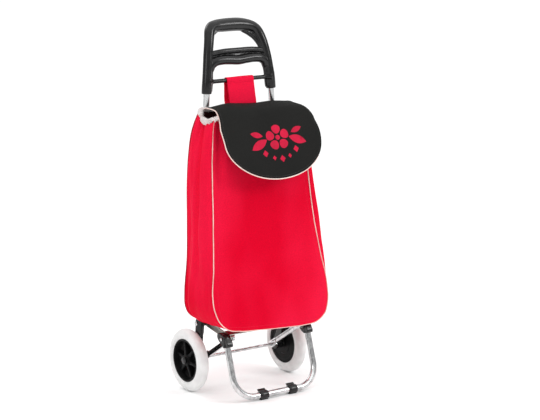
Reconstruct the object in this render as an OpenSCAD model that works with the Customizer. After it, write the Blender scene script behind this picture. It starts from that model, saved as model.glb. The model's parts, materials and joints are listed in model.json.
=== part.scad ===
// Shopping trolley on two wheels: a soft bag on a folding tube frame with a
// moulded handle. Millimetres, +Z up, -Y to the front, floor at z = 0.

/* [Wheels] */
// Diameter of a wheel over its tyre
wheel_d = 160; // [150:1:162]
// Width of a tyre
tyre_w = 29.5; // [26:0.5:30]
// Diameter of the hub where the tyre sits on it
hub_d = 110; // [100:1:116]
// Distance between the middles of the two wheels
wheel_track = 300.4; // [299:0.2:306]
// Diameter of the axle
axle_d = 9; // [8:0.5:10]
// Distance of the axle behind the middle of the part
axle_y = 52.8; // [50:0.2:56]

/* [Frame] */
// Diameter of the steel tubes
tube_d = 16; // [15:0.5:16]
// Wall of the steel tubes
tube_wall = 1.2; // [1:0.1:2]
// Distance of the uprights behind the middle of the part
upright_y = 35; // [34:0.5:36]
// Half the distance between the uprights at the handle
upright_x_top = 96.4; // [95:0.2:98]
// Half the distance between the uprights at the rear pivots
upright_x_low = 127.2; // [126:0.2:128]
// Height of the rear pivots
rear_pivot_z = 175.6; // [175:0.2:177]

/* [Folding base] */
// How far the front pivots lie in front of the rear pivots
base_reach = 106.9; // [104:0.1:108]
// How far the front pivots lie below the rear pivots
base_drop = 19; // [17:0.5:20]
// Half the distance between the legs of the foot
foot_x = 122.5; // [122:0.5:123]
// Distance of the foot's cross tube in front of the middle of the part
foot_y = 121.8; // [118:0.2:124]
// Radius of the foot's two bends
foot_bend = 55; // [40:1:60]
// Width of a foot clip
clip_w = 23; // [18:1:26]

/* [Bag] */
// Height of the bag's mouth
mouth_z = 710; // [700:1:712]
// Thickness of the bag's walls
bag_wall = 4; // [3:0.5:5]
// Distance from the middle of the part back to the bag's back
bag_back_y = 23; // [21:0.5:24]

/* [Flap] */
// Half the width of the flap's front
flap_x = 143; // [135:1:145]
// Length of the flap's front, from its fold to its round end
flap_l = 172; // [150:1:174]
// Lean of the flap's front away from the bag, in degrees
flap_lean = 20.5; // [15:0.5:21]
// Thickness of the flap
flap_t = 3.5; // [2.5:0.5:4]

/* [Handle] */
// Height where the handle's sockets begin
socket_z = 753; // [750:1:756]
// Diameter of the handle's legs
handle_leg_d = 25; // [24:0.5:26]
// Height of the middle of the top bar
top_bar_z = 916; // [905:1:918]
// Diameter of the top bar
top_bar_d = 33; // [28:1:34]

/* [Hidden] */

$fn = 64;
black = [0.11, 0.11, 0.11];
charcoal = [0.18, 0.18, 0.17];
chrome = [0.78, 0.79, 0.8];
zinc = [0.66, 0.68, 0.64];
white_rubber = [0.9, 0.9, 0.9];
red = [0.9, 0.05, 0.2];
red_shade = [0.72, 0, 0.14];
piping_white = [0.95, 0.88, 0.85];

wheel_z = wheel_d / 2;
hub_inner_x = wheel_track / 2 - 12.9;
hub_w = 25.8;
fit_gap = 0.05;

// Layers of the folding base from the middle outwards, as distances along X
strut_x0 = 97;
strut_x1 = 104.5;
side_bar_x0 = 108.5;
side_bar_x1 = 111.5;
knuckle_x0 = 112.5;
knuckle_x1 = 133.5;
bracket_x0 = 112;
bracket_x1 = 133.5;
pin_d = 8;

rear_pivot = [upright_y, rear_pivot_z];
front_pivot = rear_pivot - [base_reach, base_drop];
axle_at = [axle_y, wheel_z];
clip_wall = 3;
foot_at = [-foot_y, tube_d / 2 + clip_wall];

upright_lean = atan((upright_x_top - upright_x_low) / (socket_z - rear_pivot_z));
upright_z0 = 160;
upright_z1 = 776;

// The legs start under the knuckles and lean forward to the cross tube
leg_top = front_pivot + [-10.4, -20.6];
leg_lean = atan2(leg_top.x - foot_at.x, leg_top.y - foot_at.y);
leg_l = norm(leg_top - foot_at);
leg_in_knuckle = 16;

strut_l = norm(axle_at - front_pivot);
strut_drop = atan2(front_pivot.y - axle_at.y, axle_at.x - front_pivot.x);
strut_h = 12;

// Front of the bag: a plane that leans back with height
bag_front_z0 = 173;
bag_front_y0 = -100;
bag_front_lean = 5.54;
// Heights and half widths of the gussets: back width, back height,
// front width, front height
gusset_rows = [
    [128, 187, 128, 174],
    [160, 203, 155, 189],
    [177, 240, 169, 226],
    [168, 346, 161, 339],
    [164, 540, 146, 483],
    [150, 668, 142, 629],
    [130, mouth_z, 132, mouth_z - 4]
];

flap_hinge = [17, 721];
flap_fold = [-68, 716];
flap_straight = 72;
fold_gap = 3;
piping_d = 4;

handle_path = [
    [97, 35, socket_z + 27], [95, 36, 800], [88.5, 41.5, 845],
    [80, 49, 880], [66, 58, 903], [48, 64, top_bar_z - 2], [0, 66, top_bar_z]
];
handle_d = [25, 24, 24, 25, 28, 32, top_bar_d];
grip_z = 838;
grip_d = 30;
sole_w = 8;
crossbar_z = 782;
crossbar_d = 11;
loop_half = 40;

// Places a shape at the given height and depth with its X axis outwards on
// one side: -1 for left and 1 for right
module on_side(side, x) translate([side * x, 0, 0]) children();

// A disc or pin along X on one side, from x0 out to x1
module pin_x(side, at, x0, x1, d)
    translate([side > 0 ? x0 : -x1, at.x, at.y])
        rotate([0, 90, 0]) cylinder(h = x1 - x0, d = d);

// A flat shape drawn in the Y-Z plane, extruded along X from x0 out to x1
module plate_x(side, x0, x1)
    translate([side > 0 ? x0 : -x1, 0, 0])
        rotate([90, 0, 90]) linear_extrude(x1 - x0) children();

// A round bar between two points, with a ball at its far end
module rod(a, b, d1, d2) {
    v = b - a;
    translate(a)
        rotate([0, acos(v.z / norm(v)), atan2(v.y, v.x)])
            cylinder(h = norm(v), d1 = d1, d2 = d2);
    translate(b) sphere(d = d2);
}

// One ring of a tube along a path that bends only gently
function ring(p, i, r, sides) = let (
    a = p[max(i - 1, 0)],
    b = p[min(i + 1, len(p) - 1)],
    t = (b - a) / norm(b - a),
    side = abs(t.y) > 0.8 ? [1, 0, 0] : [0, 1, 0],
    u = cross(t, side) / norm(cross(t, side)),
    v = cross(t, u)
) [for (k = [0:sides - 1])
    p[i] + r * (cos(360 * k / sides) * u + sin(360 * k / sides) * v)];

// A closed tube along an open path
module tube_along(p, d, sides = 8) {
    rings = [for (i = [0:len(p) - 1]) each ring(p, i, d / 2, sides)];
    n = len(p);
    walls = [for (i = [0:n - 2], k = [0:sides - 1]) let (j = (k + 1) % sides)
        [i * sides + k, (i + 1) * sides + k, (i + 1) * sides + j, i * sides + j]];
    first = [for (k = [0:sides - 1]) k];
    last = [for (k = [sides - 1:-1:0]) (n - 1) * sides + k];
    polyhedron(rings, concat(walls, [first, last]), convexity = 6);
}

// Moves a shape drawn round the origin onto an upright, with Z along it
module along_upright(side, z)
    translate([side * (upright_x_low + (z - rear_pivot_z) * tan(upright_lean)),
        upright_y, z])
        rotate([0, side * upright_lean, 0]) children();

module upright(side) color(chrome)
    along_upright(side, upright_z0) difference() {
        cylinder(h = upright_z1 - upright_z0, d = tube_d);
        translate([0, 0, -1])
            cylinder(h = upright_z1 - upright_z0 + 2, d = tube_d - 2 * tube_wall);
        translate([0, 0, rear_pivot_z - upright_z0])
            rotate([0, 90, 0]) cylinder(h = 2 * tube_d, d = pin_d, center = true);
    }

// The handle is a bow of blended bars: two legs that end in the sockets, the
// top bar, the finger grip and a crossbar for the bag's loop
module handle() color(black) difference() {
    union() {
        for (side = [-1, 1]) {
            along_upright(side, socket_z) cylinder(h = 28, d = handle_leg_d, $fn = 24);
            for (i = [0:len(handle_path) - 2]) hull() {
                ball(mirrored(handle_path[i], side), handle_d[i]);
                ball(mirrored(handle_path[i + 1], side), handle_d[i + 1]);
            }
        }
        for (bar = [[82, 42, grip_z, grip_d], [94, upright_y, crossbar_z, crossbar_d]])
            hull() for (side = [-1, 1])
                ball([side * bar[0], bar[1], bar[2]], bar[3]);
    }
    for (side = [-1, 1])
        along_upright(side, socket_z - 1) cylinder(h = upright_z1 - socket_z + 1, d = tube_d);
}
module ball(at, d) translate(at) sphere(d = d, $fn = 20);
function mirrored(p, side) = [side * p.x, p.y, p.z];

module rear_bracket(side) color(black) difference() {
    union() {
        along_upright(side, 163) cylinder(h = 21, d = 22);
        plate_x(side, bracket_x0, bracket_x1) {
            translate(axle_at) circle(d = 27);
            polygon([[24, 182], [46, 182], [46, 128], [64.5, 88],
                [46, 69], [36, 86], [24, 128]]);
        }
    }
    along_upright(side, upright_z0) cylinder(h = 60, d = tube_d);
    pin_x(side, rear_pivot, bracket_x0 - 5, bracket_x1 + 12, pin_d);
    pin_x(side, axle_at, bracket_x0 - 5, bracket_x1 + 5, axle_d);
}

module rear_pivot_pins() color(chrome) for (side = [-1, 1]) {
    pin_x(side, rear_pivot, side_bar_x0 - 2, 139, pin_d);
    pin_x(side, rear_pivot, side_bar_x0 - 3, side_bar_x0 - 0.5, 13);
    pin_x(side, rear_pivot, 138.3, 140.8, 12);
}

module axle() color(chrome)
    pin_x(1, axle_at, -166, 166, axle_d);

module axle_washers() color(zinc) for (side = [-1, 1]) difference() {
    pin_x(side, axle_at, bracket_x1 + 0.3, hub_inner_x - 0.3, 20);
    pin_x(side, axle_at, bracket_x1 - 1, hub_inner_x + 1, axle_d);
}

module axle_caps() color(black) for (side = [-1, 1]) difference() {
    pin_x(side, axle_at, hub_inner_x + hub_w + 0.4, 168.5, 19);
    pin_x(side, axle_at, hub_inner_x, 166, axle_d);
}

// Turned about Z at its inner face, open to the outside with ribs
module hub_body() difference() {
    union() {
        rotate_extrude() polygon([[0, 0], [hub_d / 2, 0], [hub_d / 2, hub_w],
            [hub_d / 2 - 5, hub_w], [hub_d / 2 - 8, 9], [26, 6], [15, 16],
            [13, hub_w], [0, hub_w]]);
        for (i = [0:5]) rotate(60 * i)
            translate([12, -3, 3]) cube([hub_d / 2 - 16, 6, 16]);
    }
    translate([0, 0, -1]) cylinder(h = hub_w + 2, d = axle_d + 2 * fit_gap);
}

module wheel_hub(side) color(black)
    translate([side * hub_inner_x, axle_at.x, axle_at.y])
        rotate([0, side * 90, 0]) hub_body();

module tyre(side) color(white_rubber)
    translate([side * wheel_track / 2, axle_at.x, axle_at.y]) rotate([0, 90, 0])
        rotate_extrude() intersection() {
            translate([hub_d / 2, -tyre_w / 2]) square([wheel_d / 2, tyre_w]);
            translate([wheel_d / 2 - 18, 0]) circle(r = 18);
        }

// The outline of a flat link with round ends, drawn in the Y-Z plane
function round_end(at, from, w) =
    [for (a = [0:12:180]) at + w / 2 * [cos(from + a), sin(from + a)]];
function link_outline(a, b, w) = let (way = atan2(b.y - a.y, b.x - a.x))
    concat(round_end(a, way + 90, w), round_end(b, way - 90, w));

module side_bar(side) color(zinc)
    plate_x(side, side_bar_x0, side_bar_x1) difference() {
        polygon(link_outline(rear_pivot, front_pivot, 17));
        translate(rear_pivot) circle(d = pin_d + 2 * fit_gap);
        translate(front_pivot) circle(d = pin_d);
    }

// A strap across both side bars, lying on their upper edges
module base_strap(from_front, width) color(zinc)
    translate([0, front_pivot.x, front_pivot.y])
        rotate([atan2(base_drop, base_reach), 0, 0])
            translate([-side_bar_x1, from_front, 8.5])
                cube([2 * side_bar_x1, width, 2.5]);

module front_pivot_pins() color(chrome) for (side = [-1, 1]) {
    pin_x(side, front_pivot, strut_x0 - 2, 135, pin_d);
    pin_x(side, front_pivot, strut_x0 - 3, strut_x0 - 0.5, 13);
    pin_x(side, front_pivot, knuckle_x1 + 0.5, 136.5, 12);
}

module front_spacers() color(zinc) for (side = [-1, 1]) difference() {
    pin_x(side, front_pivot, strut_x1 + 0.3, side_bar_x0, 14);
    pin_x(side, front_pivot, strut_x1 - 1, side_bar_x0 + 1, pin_d);
}

// Moves a shape onto a foot leg's line, with Z up along the leg and its
// origin where the leg's line meets the cross tube
module along_leg()
    translate([0, foot_at.x, foot_at.y]) rotate([-leg_lean, 0, 0]) children();

module knuckle(side) color(black) difference() {
    union() {
        on_side(side, foot_x) along_leg() {
            translate([0, 0, leg_l]) cylinder(h = 26, d = 21);
            translate([0, 0, leg_l + 26]) sphere(d = 21);
        }
        plate_x(side, knuckle_x0, knuckle_x1) {
            translate(front_pivot) circle(d = 24);
            translate(front_pivot + [17.5, 4.5]) circle(d = 13);
            polygon([front_pivot + [17.5, 11], front_pivot + [0, 12],
                front_pivot + [-10, 8], leg_top + [-9, 3], leg_top + [12, 0.5],
                front_pivot + [24, 4]]);
        }
    }
    on_side(side, foot_x) along_leg()
        cylinder(h = leg_l + leg_in_knuckle, d = tube_d);
    pin_x(side, front_pivot, knuckle_x0 - 2, knuckle_x1 + 2, pin_d + 2 * fit_gap);
    on_side(side, foot_x) along_leg() translate([0, 0, leg_l + 6])
        rotate([90, 0, 0]) cylinder(h = 20, d = 4);
}

module knuckle_screws() color(chrome) for (side = [-1, 1])
    on_side(side, foot_x) along_leg() translate([0, 0, leg_l + 6])
        rotate([90, 0, 0]) {
            translate([0, 0, tube_d / 2]) cylinder(h = 3, d = 4);
            translate([0, 0, 10.4]) cylinder(h = 1.4, d = 7);
        }

// The bent foot tube, solid, at a given diameter
module foot_bar(d) along_leg() {
    for (side = [-1, 1]) {
        translate([side * foot_x, 0, foot_bend])
            cylinder(h = leg_l + leg_in_knuckle - foot_bend, d = d);
        translate([side * (foot_x - foot_bend), 0, foot_bend])
            rotate([90, 0, 0]) rotate([0, 0, side > 0 ? 270 : 180])
                rotate_extrude(angle = 90) translate([foot_bend, 0]) circle(d = d);
    }
    rotate([0, 90, 0]) cylinder(h = 2 * (foot_x - foot_bend), d = d, center = true);
}

module foot_tube() color(chrome) difference() {
    foot_bar(tube_d);
    foot_bar(tube_d - 2 * tube_wall);
}

module foot_clip(side) color(black)
    translate([side * 43.6, foot_at.x, foot_at.y]) difference() {
        union() {
            rotate([0, 90, 0])
                cylinder(h = clip_w, d = tube_d + 2 * clip_wall, center = true);
            translate([-clip_w / 2, 4, 5]) rotate([-35, 0, 0]) cube([clip_w, 3, 10]);
            translate([-clip_w / 2, -sole_w / 2, -foot_at.y])
                cube([clip_w, sole_w, 2]);
        }
        rotate([0, 90, 0]) cylinder(h = clip_w + 2, d = tube_d, center = true);
    }

// A channel from the front pivot down to the axle, open to the inside,
// with a flat forked end that rests on the axle
module strut(side) color(chrome)
    plate_strut(side) {
        plate_x(side, strut_x0, strut_x1) difference() {
            union() {
                circle(d = 17);
                translate([0, -strut_h / 2]) square([strut_l - 10, strut_h]);
            }
            circle(d = pin_d + 2 * fit_gap);
        }
        plate_x(side, strut_x0 - 1, strut_x1 - 1.6)
            translate([12, 1.6 - strut_h / 2])
                square([strut_l, strut_h - 3.2]);
        plate_x(side, strut_x1 - 3, strut_x1) difference() {
            translate([strut_l - 24, -9]) square([29, 18]);
            translate([strut_l, 0]) circle(d = axle_d + 1);
            translate([strut_l, -(axle_d + 1) / 2]) square([20, axle_d + 1]);
        }
    }
// The first child, less the second, plus the third, turned down to the axle
module plate_strut(side)
    translate([0, front_pivot.x, front_pivot.y]) rotate([-strut_drop, 0, 0]) {
        difference() {
            children(0);
            children(1);
        }
        children(2);
    }

// Depth of the bag's front at a height
function front_y(z) = bag_front_y0 + (z - bag_front_z0) * tan(bag_front_lean);

// A closed outline from half widths and heights of one side
function both_sides(half) = concat(half,
    [for (i = [len(half) - 1:-1:0]) [-half[i].x, half[i].y]]);
front_half = [for (row = gusset_rows) [row[2], row[3]]];
back_half = [for (row = gusset_rows) [row[0], row[1]]];

module bag_front() color(red)
    translate([0, bag_front_y0 + bag_wall, bag_front_z0])
        rotate([90 - bag_front_lean, 0, 0]) linear_extrude(bag_wall)
            polygon(both_sides([for (p = front_half)
                [p.x, (p.y - bag_front_z0) / cos(bag_front_lean)]]));

module bag_back() color(red_shade)
    translate([0, bag_back_y, 0]) rotate([90, 0, 0])
        linear_extrude(bag_wall) polygon(both_sides(back_half));

// A thin bar across a gusset at one row, just inside front and back
module gusset_bar(row) {
    back = [row[0], bag_back_y - bag_wall - 0.3, row[1]];
    front = [row[2], front_y(row[3]) + bag_wall + 0.7, row[3]];
    for (p = [back, front])
        translate(p - [bag_wall, 0, 0]) cube([bag_wall, 0.2, 0.2]);
}

module bag_gusset(side) color(red)
    mirror([side > 0 ? 0 : 1, 0, 0])
        for (i = [0:len(gusset_rows) - 2]) hull() {
            gusset_bar(gusset_rows[i]);
            gusset_bar(gusset_rows[i + 1]);
        }

bottom_front = [front_y(174) + bag_wall + 1, 174];
bottom_back = [bag_back_y - bag_wall - 0.5, 187];
// A slab on the bag's sloping bottom, between two heights above it
module bottom_slab(half_w, inset, z0, z1) {
    v = bottom_back - bottom_front;
    translate([0, bottom_front.x, bottom_front.y]) rotate([atan2(v.y, v.x), 0, 0])
        translate([-half_w, inset, z0])
            cube([2 * half_w, norm(v) - 2 * inset, z1 - z0]);
}

module bag_bottom() color(red_shade) bottom_slab(123.5, 0, 0, bag_wall);
module base_board() color(charcoal)
    bottom_slab(122, 3, bag_wall + 0.2, bag_wall + 3.2);

module bag_piping() color(piping_white) {
    edge = [for (i = [0:len(front_half) - 1]) let (p = front_half[i])
        [p.x - 2, front_y(p.y) - piping_d / 2 - 0.3, p.y + (i == 0 ? 2 : 0)]];
    tube_along(concat([for (i = [len(edge) - 1:-1:0]) edge[i]],
        [for (p = edge) [-p.x, p.y, p.z]]), piping_d);
}

module back_binding() color(red_shade) {
    edge = [for (i = [0:len(back_half) - 1]) let (p = back_half[i])
        [p.x - 2, bag_back_y + 1.8, p.y + (i == 0 ? 2 : 0)]];
    tube_along(concat([for (i = [len(edge) - 1:-1:0]) edge[i]],
        [for (p = edge) [-p.x, p.y, p.z]]), 3);
}

// The gathered rim round the bag's mouth, a ring of four round rolls
module mouth_collar() color(piping_white) {
    z = mouth_z + 3.5;
    corners = [[126, bag_back_y - 6, z], [-126, bag_back_y - 6, z],
        [-126, front_y(mouth_z) + 6, z], [126, front_y(mouth_z) + 6, z]];
    for (i = [0:3]) rod(corners[i], corners[(i + 1) % 4], 6, 6);
}

// A flat ribbon round the handle's crossbar, down to the bag's back
module hanging_loop() color(red) {
    r = crossbar_d / 2 + 0.6;
    strap = 2;
    plate_x(1, -loop_half, loop_half) {
        translate([upright_y, crossbar_z]) difference() {
            circle(r = r + strap);
            circle(r = r);
            translate([-20, -40]) square([40, 40]);
        }
        for (y = [upright_y - r - strap, upright_y + r])
            translate([y, 724]) square([strap, crossbar_z - 724]);
        translate([upright_y - r - strap, 716]) square([2 * (r + strap), 8.5]);
        translate([bag_back_y + 0.2, 690]) square([3, 30]);
        translate([bag_back_y + 0.2, 716]) square([9, 4]);
    }
}

// A fabric strap round an upright, joined to the bag's back
module tie_strap(side) color(red_shade) {
    z = 330;
    difference() {
        union() {
            along_upright(side, z) cylinder(h = 28, d = tube_d + 4.6);
            translate([side * 118.5 - 9, bag_back_y + 0.2, z + 4]) cube([18, 6, 20]);
        }
        along_upright(side, z - 1) cylinder(h = 30, d = tube_d + 0.6);
    }
}

flap_top_l = norm(flap_fold - flap_hinge);
flap_back_x = 128;

module flap_top() color(charcoal)
    translate([0, flap_fold.x, flap_fold.y])
        rotate([atan2(flap_hinge.y - flap_fold.y, flap_hinge.x - flap_fold.x), 0, 0])
            linear_extrude(flap_t) polygon([[-flap_x, fold_gap], [flap_x, fold_gap],
                [flap_back_x, flap_top_l - 1], [-flap_back_x, flap_top_l - 1]]);

module flap_top_piping() color(piping_white)
    translate([0, flap_fold.x, flap_fold.y])
        rotate([atan2(flap_hinge.y - flap_fold.y, flap_hinge.x - flap_fold.x), 0, 0])
            for (side = [-1, 1])
                tube_along([[side * (flap_x + 1.8), fold_gap + 2, flap_t / 2],
                    [side * (flap_back_x + 1.8), flap_top_l - 3, flap_t / 2]], 3);

// Half widths and lengths down one edge of the flap's front
function flap_edge(grow) = concat([[flap_x + grow, fold_gap + (grow > 0 ? 2 : 0)]],
    [for (a = [0:7.5:90]) [(flap_x + grow) * cos(a),
        flap_straight + (flap_l - flap_straight + grow) * sin(a)]]);

// Stands a flat shape, drawn in X and length, down the flap's front
module on_flap_front()
    translate([0, flap_fold.x, flap_fold.y])
        rotate([-90 - flap_lean, 0, 0]) mirror([0, 0, 1]) children();

module flap_front() color(charcoal)
    on_flap_front() linear_extrude(flap_t, center = true)
        polygon(both_sides(flap_edge(0)));

module flap_front_piping() color(piping_white) {
    edge = flap_edge(1.9);
    path = concat([for (p = edge) [p.x, p.y, 0]],
        [for (i = [len(edge) - 2:-1:0]) [-edge[i].x, edge[i].y, 0]]);
    down = [-sin(flap_lean), -cos(flap_lean)];
    tube_along([for (p = path) [p.x, flap_fold.x + p.y * down.x,
        flap_fold.y + p.y * down.y]], 3);
}

// A plain flower between two leaves over a row of diamonds
module print_shape() {
    translate([0, 62]) {
        for (a = [90:72:378]) rotate(a) translate([15, 0]) circle(d = 19);
        difference() {
            circle(d = 24);
            circle(d = 9);
        }
    }
    for (side = [-1, 1]) translate([side * 50, 72]) rotate(side * 25)
        intersection() {
            translate([0, 17]) circle(d = 54);
            translate([0, -17]) circle(d = 54);
        }
    for (i = [-3:3]) translate([24 * i, 116]) rotate(45)
        square(12, center = true);
}

module flap_print() color(red)
    on_flap_front() translate([0, 0, flap_t / 2]) linear_extrude(0.6) print_shape();

handle();
upright(-1);  // upright_left
upright(1);  // upright_right
rear_bracket(-1);  // rear_bracket_left
rear_bracket(1);  // rear_bracket_right
rear_pivot_pins();
axle();
axle_washers();
axle_caps();
wheel_hub(-1);  // wheel_hub_left
wheel_hub(1);  // wheel_hub_right
tyre(-1);  // tyre_left
tyre(1);  // tyre_right
side_bar(-1);  // side_bar_left
side_bar(1);  // side_bar_right
base_strap(-4, 24);  // base_strap_front
base_strap(46, 30);  // base_strap_rear
front_pivot_pins();
front_spacers();
knuckle(-1);  // knuckle_left
knuckle(1);  // knuckle_right
knuckle_screws();
foot_tube();
foot_clip(-1);  // foot_clip_left
foot_clip(1);  // foot_clip_right
strut(-1);  // strut_left
strut(1);  // strut_right
bag_front();
bag_back();
bag_gusset(-1);  // bag_left
bag_gusset(1);  // bag_right
bag_bottom();
base_board();
bag_piping();
back_binding();
mouth_collar();
hanging_loop();
tie_strap(-1);  // tie_strap_left
tie_strap(1);  // tie_strap_right
flap_top();
flap_top_piping();
flap_front();
flap_front_piping();
flap_print();
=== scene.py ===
import json
import math

import bmesh
import bpy
import numpy as np
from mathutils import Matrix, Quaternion, Vector, noise


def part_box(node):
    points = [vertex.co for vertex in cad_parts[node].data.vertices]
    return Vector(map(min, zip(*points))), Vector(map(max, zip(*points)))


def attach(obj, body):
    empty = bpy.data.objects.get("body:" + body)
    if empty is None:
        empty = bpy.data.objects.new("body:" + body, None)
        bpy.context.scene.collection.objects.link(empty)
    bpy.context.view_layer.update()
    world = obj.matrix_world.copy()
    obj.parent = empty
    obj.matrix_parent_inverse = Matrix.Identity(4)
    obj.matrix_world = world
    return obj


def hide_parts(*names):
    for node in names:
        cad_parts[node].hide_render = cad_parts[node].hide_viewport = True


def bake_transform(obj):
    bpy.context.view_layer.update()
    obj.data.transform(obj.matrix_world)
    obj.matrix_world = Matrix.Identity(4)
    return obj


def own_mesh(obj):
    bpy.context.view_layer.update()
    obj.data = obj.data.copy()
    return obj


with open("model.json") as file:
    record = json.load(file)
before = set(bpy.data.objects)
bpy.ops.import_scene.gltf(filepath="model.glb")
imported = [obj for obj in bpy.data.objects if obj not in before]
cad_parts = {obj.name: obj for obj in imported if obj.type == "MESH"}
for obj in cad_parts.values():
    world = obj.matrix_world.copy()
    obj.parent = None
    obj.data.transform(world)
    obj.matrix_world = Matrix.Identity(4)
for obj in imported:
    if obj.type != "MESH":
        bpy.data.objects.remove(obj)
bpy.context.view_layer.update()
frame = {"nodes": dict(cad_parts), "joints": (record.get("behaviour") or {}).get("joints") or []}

# Looks for a folding shopping trolley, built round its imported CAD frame. Metres, +Z up,
# -Y to the front. Outlines are written in millimetres and turned into metres with mm().

nodes = frame["nodes"]
joint_at = {j["name"]: Vector(j["pos_m"]) for j in frame["joints"]}

MM = 0.001
SIDES = {"left": -1, "right": 1}
THIN = 0.05 * MM  # radius at which a turned profile closes on its axis


# ---------------- points and curves

def mm(rows):
    """Numbers in millimetres as an array in metres."""
    return np.array(rows, float) * MM


def step(value, start, end):
    """0 before start, 1 after end and smooth between them."""
    t = np.clip((np.asarray(value, float) - start) / (end - start), 0, 1)
    return t * t * (3 - 2 * t)


def hump(value, centre, width):
    """1 at centre, and falling off smoothly over width on both sides."""
    return np.exp(-(((value - centre) / width) ** 2))


def smooth(rows, keys, at):
    """Rows of numbers known at keys, read at other places along a smooth curve."""
    rows, keys, at = np.asarray(rows, float), np.asarray(keys, float), np.asarray(at, float)
    slope = np.gradient(rows, keys, axis=0)
    i = np.clip(np.searchsorted(keys, at, "right") - 1, 0, len(keys) - 2)
    h = keys[i + 1] - keys[i]
    t = (at - keys[i]) / h
    spread_out = t.shape + (1,) * (rows.ndim - 1)
    h, t = h.reshape(spread_out), t.reshape(spread_out)
    return (
        (2 * t**3 - 3 * t**2 + 1) * rows[i]
        + (t**3 - 2 * t**2 + t) * h * slope[i]
        + (3 * t**2 - 2 * t**3) * rows[i + 1]
        + (t**3 - t**2) * h * slope[i + 1]
    )


def lengths(path):
    """Distance of each point of a path from its start."""
    return np.concatenate([[0], np.cumsum(np.linalg.norm(np.diff(path, axis=0), axis=1))])


def unit(vectors):
    """Vectors at length 1."""
    return vectors / np.linalg.norm(vectors, axis=-1, keepdims=True)


def between(path, along, at):
    """Points of a path read straight between its points, at distances along it."""
    return np.stack([np.interp(at, along, column) for column in path.T], axis=1)


def even(path, count, closed=False):
    """A smooth path through the points, with count points evenly along it."""
    path = np.asarray(path, float)
    path = path[np.append(True, np.diff(lengths(path)) > 1e-7)]
    if closed:
        path = np.concatenate([path[-3:], path, path[:4]])
    keys = lengths(path)
    first, last = (keys[3], keys[-4]) if closed else (0, keys[-1])
    fine = smooth(path, keys, np.linspace(first, last, count * 8))
    along = lengths(fine)
    wanted = np.linspace(0, along[-1], count, endpoint=not closed)
    return between(fine, along, wanted)


def rounded(outline, radius, points=5):
    """A closed 2-D outline with its corners turned into arcs of about that radius."""
    outline = np.asarray(outline, float)
    made = []
    for before, corner, after in zip(np.roll(outline, 1, 0), outline, np.roll(outline, -1, 0)):
        ways = [before - corner, after - corner]
        reach = [min(radius, 0.48 * np.linalg.norm(w)) for w in ways]
        a, b = [corner + unit(w) * r for w, r in zip(ways, reach)]
        for t in np.linspace(0, 1, points):
            made.append((1 - t) ** 2 * a + 2 * t * (1 - t) * corner + t**2 * b)
    return np.array(made)


def ripple(points, scale, seed):
    """Smooth noise from about -1 to 1 at each point. scale is in waves per metre along each axis."""
    scale = np.broadcast_to(np.asarray(scale, float), (3,))
    places = np.asarray(points, float).reshape(-1, 3) * scale + seed
    values = [noise.noise(Vector(p)) for p in places]
    return np.array(values).reshape(np.asarray(points).shape[:-1])


# ---------------- meshes

def add_object(name, data):
    """A new object in the scene."""
    made = bpy.data.objects.new(name, data)
    bpy.context.scene.collection.objects.link(made)
    return made


def mesh_piece(name, points, faces, material):
    """A new smooth-shaded mesh object."""
    mesh = bpy.data.meshes.new(name)
    mesh.from_pydata([tuple(p) for p in points], [], [tuple(f) for f in faces])
    mesh.polygons.foreach_set("use_smooth", [True] * len(mesh.polygons))
    mesh.materials.append(material)
    return add_object(name, mesh)


def grid_piece(name, grid, material, wrap_rows=False, wrap_columns=False, caps=False):
    """A surface through a grid of points, with its lengths in metres as the cloth map."""
    grid = np.asarray(grid, float)
    rows, columns = grid.shape[:2]
    faces, corners = [], []
    across = np.linalg.norm(np.roll(grid, -1, 1) - grid, axis=2).mean(0)
    along = np.linalg.norm(np.roll(grid, -1, 0) - grid, axis=2).mean(1)
    u = np.concatenate([[0], np.cumsum(across)])
    v = np.concatenate([[0], np.cumsum(along)])
    for i in range(rows if wrap_rows else rows - 1):
        for j in range(columns if wrap_columns else columns - 1):
            a, b = (i + 1) % rows, (j + 1) % columns
            faces.append((i * columns + j, i * columns + b, a * columns + b, a * columns + j))
            corners += [(u[j], v[i]), (u[j + 1], v[i]), (u[j + 1], v[i + 1]), (u[j], v[i + 1])]
    if caps:
        ring = list(range(columns))
        faces += [ring[::-1], [(rows - 1) * columns + k for k in ring]]
        corners += [(u[k], 0) for k in ring] * 2
    piece = mesh_piece(name, grid.reshape(-1, 3), faces, material)
    cloth = piece.data.uv_layers.new(name="cloth")
    cloth.data.foreach_set("uv", np.array(corners, np.float32).ravel())
    return piece


def rings(path, radii, sides, flat, closed=False, start=(0, 1, 0)):
    """Rings of points round a path. radii is one radius or one a point, and flat squeezes them."""
    path = np.asarray(path, float)
    if closed:
        tangent = np.roll(path, -1, 0) - np.roll(path, 1, 0)
    else:
        tangent = np.gradient(path, axis=0)
    tangent = unit(tangent)
    side, across = np.array(start, float), []
    for t in tangent:
        side = unit(side - t * side.dot(t))
        across.append(side)
    across = np.array(across)
    up = np.cross(tangent, across)
    angle = np.linspace(0, math.tau, sides, endpoint=False)[None, :, None]
    size = np.broadcast_to(np.asarray(radii, float), (len(path),))[:, None, None]
    out = np.cos(angle) * across[:, None] + flat * np.sin(angle) * up[:, None]
    return path[:, None] + size * out


def tube(name, path, radii, material, sides, flat=1.0):
    """A round bar along a path, closed at its ends."""
    grid = rings(path, radii, sides, flat)
    return grid_piece(name, grid, material, wrap_columns=True, caps=True)


def lathe(name, profile, centre, side, material, steps):
    """A closed (radius, distance) profile turned about X. Distance grows outwards on that side."""
    angle = np.linspace(0, math.tau, steps, endpoint=False)
    radius, out = np.asarray(profile, float).T
    grid = np.stack(np.broadcast_arrays(
        (centre[0] + side * out)[:, None],
        centre[1] + radius[:, None] * np.cos(angle),
        centre[2] + radius[:, None] * np.sin(angle)), axis=2)
    piece = grid_piece(name, grid, material, wrap_rows=True, wrap_columns=True)
    return outwards(piece)


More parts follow.
